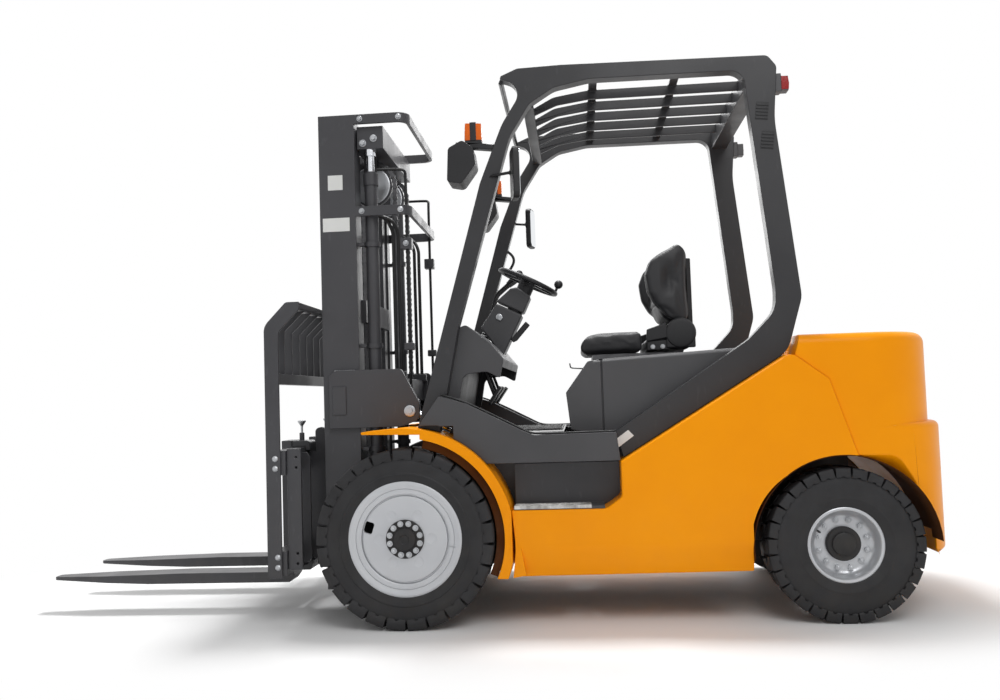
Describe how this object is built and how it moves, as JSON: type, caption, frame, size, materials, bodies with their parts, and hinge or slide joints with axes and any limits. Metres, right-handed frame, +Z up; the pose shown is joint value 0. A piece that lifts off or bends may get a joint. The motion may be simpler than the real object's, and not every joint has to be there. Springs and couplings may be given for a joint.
{
  "type": "counterbalance forklift truck",
  "caption": "Diesel counterbalance forklift with two-stage mast, side-shift fork carriage, overhead guard, opening hood with seat and steered rear wheels.",
  "frame": {"origin": "on the floor, below the middle of the overall length and width", "axes": "+X forwards to the fork tips, +Y to the left of the truck, +Z up"},
  "size_m": [3.825, 1.2872, 2.25],
  "materials": {
    "axle_paint": "satin",
    "bare_steel": "satin",
    "black_plastic": "matte",
    "body_paint": "satin",
    "chrome_rod": "polished",
    "dark_paint": "satin",
    "engine_iron": "satin",
    "lamp_lens": "gloss",
    "mirror_face": "polished",
    "rim_paint": "satin",
    "seat_vinyl": "satin",
    "tyre_rubber": "matte"
  },
  "bodies": {
    "chassis": {"frame": "dark_paint", "side_panels": "body_paint", "front_fenders": "body_paint", "steps": "black_plastic", "floor_trims": "dark_paint", "floor_plate": "black_plastic", "cowl": "dark_paint", "steering_column": "black_plastic", "control_levers": "black_plastic", "pedals": "black_plastic", "counterweight": "body_paint", "tow_pin": "bare_steel", "rear_grille": "black_plastic", "radiator_cover": "black_plastic", "engine_block": "engine_iron", "overhead_guard": "dark_paint", "front_lamps": "black_plastic", "tail_lamps": "lamp_lens", "mirrors": "mirror_face", "drive_axle": "axle_paint", "steer_axle": "axle_paint", "hood_hinge_pins": "bare_steel"},
    "hood_body": {"hood": "black_plastic", "seat_base": "bare_steel", "seat_cushion": "seat_vinyl", "seat_back": "seat_vinyl"},
    "steering_wheel_body": {"steering_wheel": "black_plastic"},
    "outer_mast_body": {"outer_mast": "dark_paint", "tilt_pins": "bare_steel", "lift_cylinders": "dark_paint"},
    "inner_mast_body": {"inner_mast": "dark_paint", "lift_rods": "chrome_rod", "mast_chains": "bare_steel"},
    "carriage_body": {"carriage": "dark_paint", "backrest_plates": "dark_paint", "backrest_rails": "dark_paint", "backrest_slats": "dark_paint"},
    "front_wheel_left": {"front_tyre_left": "tyre_rubber", "front_rim_left": "rim_paint"},
    "rear_wheel_left": {"rear_tyre_left": "tyre_rubber", "rear_rim_left": "rim_paint"},
    "knuckle_body_left": {"knuckle_left": "axle_paint"},
    "fork_body_left": {"fork_left": "dark_paint"},
    "tilt_barrel_body_left": {"tilt_barrel_left": "dark_paint"},
    "tilt_rod_body_left": {"tilt_rod_left": "chrome_rod"},
    "front_wheel_right": {"front_tyre_right": "tyre_rubber", "front_rim_right": "rim_paint"},
    "rear_wheel_right": {"rear_tyre_right": "tyre_rubber", "rear_rim_right": "rim_paint"},
    "knuckle_body_right": {"knuckle_right": "axle_paint"},
    "fork_body_right": {"fork_right": "dark_paint"},
    "tilt_barrel_body_right": {"tilt_barrel_right": "dark_paint"},
    "tilt_rod_body_right": {"tilt_rod_right": "chrome_rod"}
  },
  "joints": [
    {"name": "front_wheel_left_spin", "type": "hinge", "parent": "chassis", "child": "front_wheel_left", "pos_m": [0.2375, 0.5, 0.355], "axis": [0, 1, 0], "continuous": true},
    {"name": "steer_left", "type": "hinge", "parent": "chassis", "child": "knuckle_body_left", "pos_m": [-1.4625, 0.352, 0.295], "axis": [0, 0, 1], "range_deg": [-70, 70]},
    {"name": "rear_wheel_left_spin", "type": "hinge", "parent": "knuckle_body_left", "child": "rear_wheel_left", "pos_m": [-1.4625, 0.485, 0.295], "axis": [0, 1, 0], "continuous": true},
    {"name": "front_wheel_right_spin", "type": "hinge", "parent": "chassis", "child": "front_wheel_right", "pos_m": [0.2375, -0.5, 0.355], "axis": [0, 1, 0], "continuous": true},
    {"name": "steer_right", "type": "hinge", "parent": "chassis", "child": "knuckle_body_right", "pos_m": [-1.4625, -0.352, 0.295], "axis": [0, 0, 1], "range_deg": [-70, 70]},
    {"name": "rear_wheel_right_spin", "type": "hinge", "parent": "knuckle_body_right", "child": "rear_wheel_right", "pos_m": [-1.4625, -0.485, 0.295], "axis": [0, 1, 0], "continuous": true},
    {"name": "steering_wheel_turn", "type": "hinge", "parent": "chassis", "child": "steering_wheel_body", "pos_m": [-0.2525, 0, 1.43], "axis": [-0.4352, 0, 0.9003], "continuous": true},
    {"name": "hood_open", "type": "hinge", "parent": "chassis", "child": "hood_body", "pos_m": [-1.2625, 0, 1.088], "axis": [0, -1, 0], "range_deg": [0, 50]},
    {"name": "mast_tilt", "type": "hinge", "parent": "chassis", "child": "outer_mast_body", "pos_m": [0.2375, 0, 0.355], "axis": [0, 1, 0], "range_deg": [-10, 6]},
    {"name": "lift_inner", "type": "slide", "parent": "outer_mast_body", "child": "inner_mast_body", "axis": [0, 0, 1], "range_m": [0, 1.5]},
    {"name": "lift_carriage", "type": "slide", "parent": "inner_mast_body", "child": "carriage_body", "axis": [0, 0, 1], "range_m": [0, 1.5]},
    {"name": "fork_left_shift", "type": "slide", "parent": "carriage_body", "child": "fork_body_left", "axis": [0, 1, 0], "range_m": [-0.1, 0.23]},
    {"name": "fork_right_shift", "type": "slide", "parent": "carriage_body", "child": "fork_body_right", "axis": [0, -1, 0], "range_m": [-0.1, 0.23]},
    {"name": "tilt_barrel_left_swing", "type": "hinge", "parent": "chassis", "child": "tilt_barrel_body_left", "pos_m": [-0.3225, 0.33, 0.56], "axis": [0, 1, 0], "range_deg": [-3.99, 2.52]},
    {"name": "tilt_rod_left_slide", "type": "slide", "parent": "tilt_barrel_body_left", "child": "tilt_rod_body_left", "axis": [0.8862, 0, 0.4634], "range_m": [-0.0794, 0.0484]},
    {"name": "tilt_barrel_right_swing", "type": "hinge", "parent": "chassis", "child": "tilt_barrel_body_right", "pos_m": [-0.3225, -0.33, 0.56], "axis": [0, 1, 0], "range_deg": [-3.99, 2.52]},
    {"name": "tilt_rod_right_slide", "type": "slide", "parent": "tilt_barrel_body_right", "child": "tilt_rod_body_right", "axis": [0.8862, 0, 0.4634], "range_m": [-0.0794, 0.0484]}
  ],
  "couplings": [
    {"joint": "steer_right", "follows": "steer_left", "ratio": 1},
    {"joint": "lift_carriage", "follows": "lift_inner", "ratio": 1},
    {"joint": "tilt_barrel_left_swing", "follows": "mast_tilt", "ratio": 0.3694},
    {"joint": "tilt_rod_left_slide", "follows": "mast_tilt", "m_per_rad": 0.4433},
    {"joint": "tilt_barrel_right_swing", "follows": "mast_tilt", "ratio": 0.3694},
    {"joint": "tilt_rod_right_slide", "follows": "mast_tilt", "m_per_rad": 0.4433}
  ]
}
